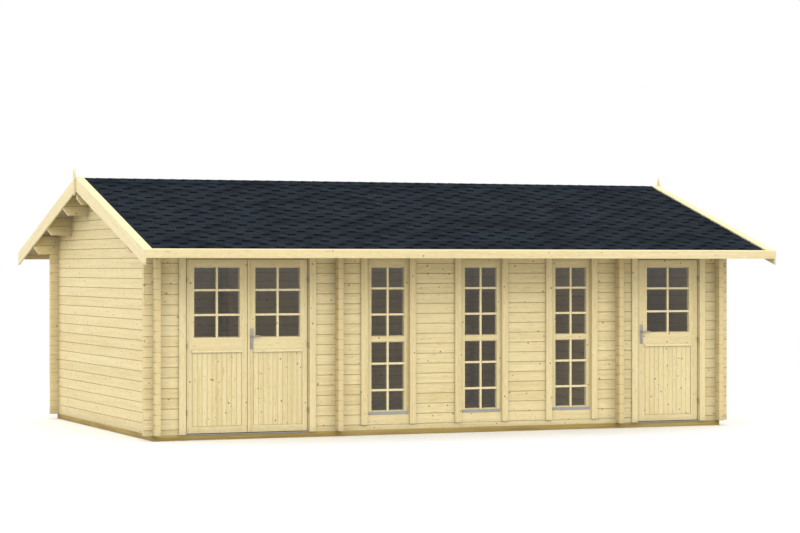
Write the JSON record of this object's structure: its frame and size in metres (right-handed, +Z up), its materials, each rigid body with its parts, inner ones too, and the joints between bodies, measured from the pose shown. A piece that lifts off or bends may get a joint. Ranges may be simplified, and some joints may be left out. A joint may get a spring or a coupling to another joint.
{
  "type": "log cabin",
  "caption": "Log cabin with interlocked log walls, a saddle roof on purlins, tall windows, a half-glazed double door and a half-glazed single door that open outward.",
  "frame": {"origin": "on the ground, in the middle of the plan", "axes": "+X along the front to the right, +Y from the front to the back, +Z up"},
  "size_m": [7.732, 5.782, 3.0447],
  "materials": {
    "log": "planed spruce, untreated",
    "board": "planed spruce, untreated",
    "treated_wood": "pressure-treated, sawn",
    "shingles": "mineral-coated bitumen, matt",
    "aluminium": "satin",
    "steel": "satin",
    "glass": "clear"
  },
  "bodies": {
    "cabin": {"back_wall": "log", "back_wall_plate": "log", "bargeboard_left_back": "board", "bargeboard_left_front": "board", "bargeboard_right_back": "board", "bargeboard_right_front": "board", "door_thresholds": "aluminium", "double_door_frame": "board", "fascia_back": "board", "fascia_front": "board", "finials": "board", "floor": "board", "floor_joists": "treated_wood", "foundation_beams": "treated_wood", "frame_hinges": "steel", "front_wall_left": "log", "front_wall_middle": "log", "front_wall_plate": "log", "front_wall_right": "log", "gable_wall_left": "log", "gable_wall_right": "log", "lower_purlins": "log", "partition_wall": "log", "ridge_purlin": "log", "roof_covering_back": "shingles", "roof_covering_front": "shingles", "roof_deck_back": "board", "roof_deck_front": "board", "single_door_frame": "board", "upper_purlins": "log", "wall_braces": "log", "window_glass": "glass", "window_left": "board", "window_middle": "board", "window_right": "board", "window_sills": "aluminium"},
    "double_door_left_leaf": {"double_door_left": "board", "double_door_left_glass": "glass", "double_door_left_hinges": "steel"},
    "double_door_right_leaf": {"double_door_handle": "steel", "double_door_right": "board", "double_door_right_glass": "glass", "double_door_right_hinges": "steel"},
    "single_door_leaf": {"single_door": "board", "single_door_glass": "glass", "single_door_handle": "steel", "single_door_hinges": "steel"}
  },
  "joints": [
    {"name": "double_door_left_swing", "type": "hinge", "parent": "cabin", "child": "double_door_left_leaf", "pos_m": [-3.1475, -2.129, 1.03], "axis": [0, 0, -1], "range_deg": [0, 110]},
    {"name": "double_door_right_swing", "type": "hinge", "parent": "cabin", "child": "double_door_right_leaf", "pos_m": [-1.7325, -2.129, 1.03], "axis": [0, 0, 1], "range_deg": [0, 110]},
    {"name": "single_door_swing", "type": "hinge", "parent": "cabin", "child": "single_door_leaf", "pos_m": [3.2355, -2.129, 1.03], "axis": [0, 0, 1], "range_deg": [0, 110]}
  ]
}
